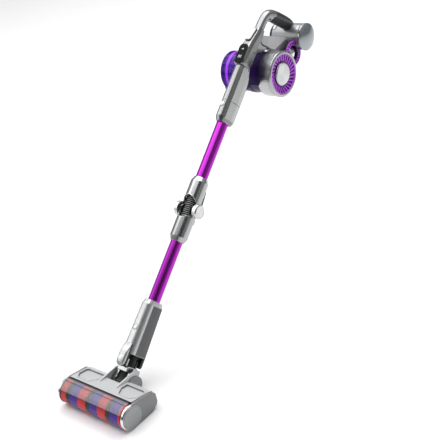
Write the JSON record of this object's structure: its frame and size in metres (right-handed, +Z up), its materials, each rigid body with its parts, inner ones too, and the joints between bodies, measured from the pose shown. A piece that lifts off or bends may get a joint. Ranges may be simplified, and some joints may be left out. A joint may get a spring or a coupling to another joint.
{
  "type": "cordless stick vacuum",
  "caption": "Cordless stick vacuum: hand unit with side dust cup and motor, folding two-tube wand, swivelling neck and roller floor head.",
  "frame": {"origin": "middle of the floor head's flat sole, 2.5 mm above the floor that the roller and wheels stand on", "axes": "+X the machine's right side (motor side), -X the dust cup side, +Y from the roller back towards the user, +Z up; the wand leans back 49 degrees from +Z towards +Y"},
  "size_m": [0.2506, 1.1128, 0.7712],
  "materials": {
    "silver": "metallic silver paint on moulded plastic",
    "gunmetal": "dark metallic grey paint on moulded plastic",
    "brushed": "turned and brushed",
    "chrome": "bright plating on moulded plastic",
    "anodised": "magenta purple anodised tube",
    "white": "white, lightly glossy",
    "black": "black, fine grain",
    "gloss_black": "polished display window",
    "rubber": "soft black rubber",
    "violet_clear": "clear violet polycarbonate",
    "violet": "deep violet moulding",
    "smoke_clear": "smoked clear polycarbonate",
    "red_plush": "short plush with coloured bristle bands",
    "filter_paper": "pleated filter paper",
    "board_green": "printed circuit board",
    "steel": "plain machined metal, at the weight of a hollow part"
  },
  "bodies": {
    "hand_unit": {"nozzle_socket": "silver", "spine_shell": "silver", "display_panel": "gloss_black", "handle_shell": "silver", "grip_pad": "rubber", "cyclone_housing": "violet", "mesh_shroud": "steel", "cup_collar": "black", "motor_housing": "brushed", "motor_rim": "silver", "hepa_filter": "filter_paper", "motor": "steel", "bridge_shell": "silver", "control_board": "board_green", "exhaust_housing": "gunmetal", "exhaust_ring_right": "violet", "exhaust_ring_left": "violet", "exhaust_core": "chrome", "battery_housing": "gunmetal", "battery_cap": "chrome"},
    "mode_key": {"mode_button": "white"},
    "nozzle_catch": {"nozzle_release_button": "white"},
    "filter_cap": {"filter_ring": "violet", "filter_knob": "brushed"},
    "fan": {"impeller": "steel"},
    "dust_bin": {"dust_cup": "violet_clear"},
    "bin_lid": {"cup_lid": "violet_clear"},
    "bin_catch": {"lid_latch": "violet"},
    "battery": {"battery_pack": "black"},
    "battery_catch_right": {"battery_release_right": "white"},
    "battery_catch_left": {"battery_release_left": "white"},
    "wand_upper": {"upper_tube": "anodised", "upper_collar": "silver", "knob_right": "brushed", "knob_left": "brushed", "wand_hose": "rubber"},
    "fold_trigger": {"fold_lever": "gunmetal"},
    "wand_lower": {"lower_tube": "anodised", "lower_collar": "silver"},
    "fold_slide": {"fold_button": "black"},
    "neck": {"neck_socket": "silver", "roll_pin_front": "white", "roll_pin_rear": "steel", "neck_bellows": "rubber"},
    "neck_catch": {"neck_release_button": "white"},
    "neck_yoke": {"yoke": "silver", "head_bellows": "rubber"},
    "floor_head": {"head_base": "gunmetal", "head_cover": "silver", "pitch_pin_right": "steel", "pitch_pin_left": "steel", "roller_cover": "smoke_clear", "seal_strip": "black", "brush_motor": "steel", "end_cap_right": "gunmetal", "end_cap_left": "gunmetal"},
    "roller": {"roller_core": "violet", "roller_sleeve": "red_plush"},
    "wheel_axle_right": {"wheel_right": "rubber"},
    "wheel_axle_left": {"wheel_left": "rubber"}
  },
  "joints": [
    {"name": "mode_press", "type": "slide", "parent": "hand_unit", "child": "mode_key", "axis": [0, 0.454, -0.891], "range_m": [0, 0.0015], "stiffness_N_per_m": 600},
    {"name": "nozzle_release", "type": "slide", "parent": "hand_unit", "child": "nozzle_catch", "axis": [0, 0.6561, -0.7547], "range_m": [0, 0.0025], "stiffness_N_per_m": 600},
    {"name": "filter_twist", "type": "hinge", "parent": "hand_unit", "child": "filter_cap", "pos_m": [0.06, 0.83439, 0.59839], "axis": [1, 0, 0], "range_deg": [0, 20]},
    {"name": "fan_spin", "type": "hinge", "parent": "hand_unit", "child": "fan", "pos_m": [0.013, 0.83439, 0.59839], "axis": [1, 0, 0], "continuous": true},
    {"name": "bin_pull", "type": "slide", "parent": "hand_unit", "child": "dust_bin", "axis": [-1, 0, 0], "range_m": [0, 0.075]},
    {"name": "lid_open", "type": "hinge", "parent": "dust_bin", "child": "bin_lid", "pos_m": [-0.119, 0.88118, 0.63906], "axis": [0, 0.6561, -0.7547], "range_deg": [0, 90]},
    {"name": "lid_catch_press", "type": "hinge", "parent": "dust_bin", "child": "bin_catch", "pos_m": [-0.112, 0.78895, 0.5589], "axis": [0, -0.6561, 0.7547], "range_deg": [0, 2.5], "stiffness_Nm_per_rad": 0.5},
    {"name": "battery_pull", "type": "slide", "parent": "hand_unit", "child": "battery", "axis": [-1, 0, 0], "range_m": [0, 0.1]},
    {"name": "battery_release_right", "type": "slide", "parent": "hand_unit", "child": "battery_catch_right", "axis": [0, 0.6561, -0.7547], "range_m": [0, 0.002], "stiffness_N_per_m": 600},
    {"name": "battery_release_left", "type": "slide", "parent": "hand_unit", "child": "battery_catch_left", "axis": [0, 0.6561, -0.7547], "range_m": [0, 0.002], "stiffness_N_per_m": 600},
    {"name": "wand_pull", "type": "slide", "parent": "hand_unit", "child": "wand_upper", "axis": [0, -0.7547, -0.6561], "range_m": [0, 0.054]},
    {"name": "wand_fold", "type": "hinge", "parent": "wand_upper", "child": "wand_lower", "pos_m": [0, 0.41, 0.358], "axis": [-1, 0, 0], "range_deg": [0, 90], "deforming": ["wand_hose"]},
    {"name": "fold_trigger_pull", "type": "hinge", "parent": "wand_upper", "child": "fold_trigger", "pos_m": [0, 0.47884, 0.37941], "axis": [-1, 0, 0], "range_deg": [0, 6], "stiffness_Nm_per_rad": 0.5},
    {"name": "fold_slide_press", "type": "slide", "parent": "wand_lower", "child": "fold_slide", "axis": [0, -0.6561, 0.7547], "range_m": [0, 0.002], "stiffness_N_per_m": 600},
    {"name": "neck_pull", "type": "slide", "parent": "wand_lower", "child": "neck", "axis": [0, -0.7547, -0.6561], "range_m": [0, 0.054]},
    {"name": "neck_release", "type": "slide", "parent": "neck", "child": "neck_catch", "axis": [0, 0.6561, -0.7547], "range_m": [0, 0.0025], "stiffness_N_per_m": 600},
    {"name": "neck_roll", "type": "hinge", "parent": "neck", "child": "neck_yoke", "pos_m": [0, 0.08019, 0.0713], "axis": [0, 0.6561, -0.7547], "range_deg": [-45, 45], "deforming": ["neck_bellows"]},
    {"name": "neck_pitch", "type": "hinge", "parent": "neck_yoke", "child": "floor_head", "pos_m": [0, 0.04373, 0.02636], "axis": [1, 0, 0], "range_deg": [-45, 36], "deforming": ["head_bellows"]},
    {"name": "roller_spin", "type": "hinge", "parent": "floor_head", "child": "roller", "pos_m": [0, -0.053, 0.031], "axis": [1, 0, 0], "continuous": true},
    {"name": "wheel_right_spin", "type": "hinge", "parent": "floor_head", "child": "wheel_axle_right", "pos_m": [0.096, 0.024, 0.0065], "axis": [1, 0, 0], "continuous": true},
    {"name": "wheel_left_spin", "type": "hinge", "parent": "floor_head", "child": "wheel_axle_left", "pos_m": [-0.096, 0.024, 0.0065], "axis": [1, 0, 0], "continuous": true}
  ]
}
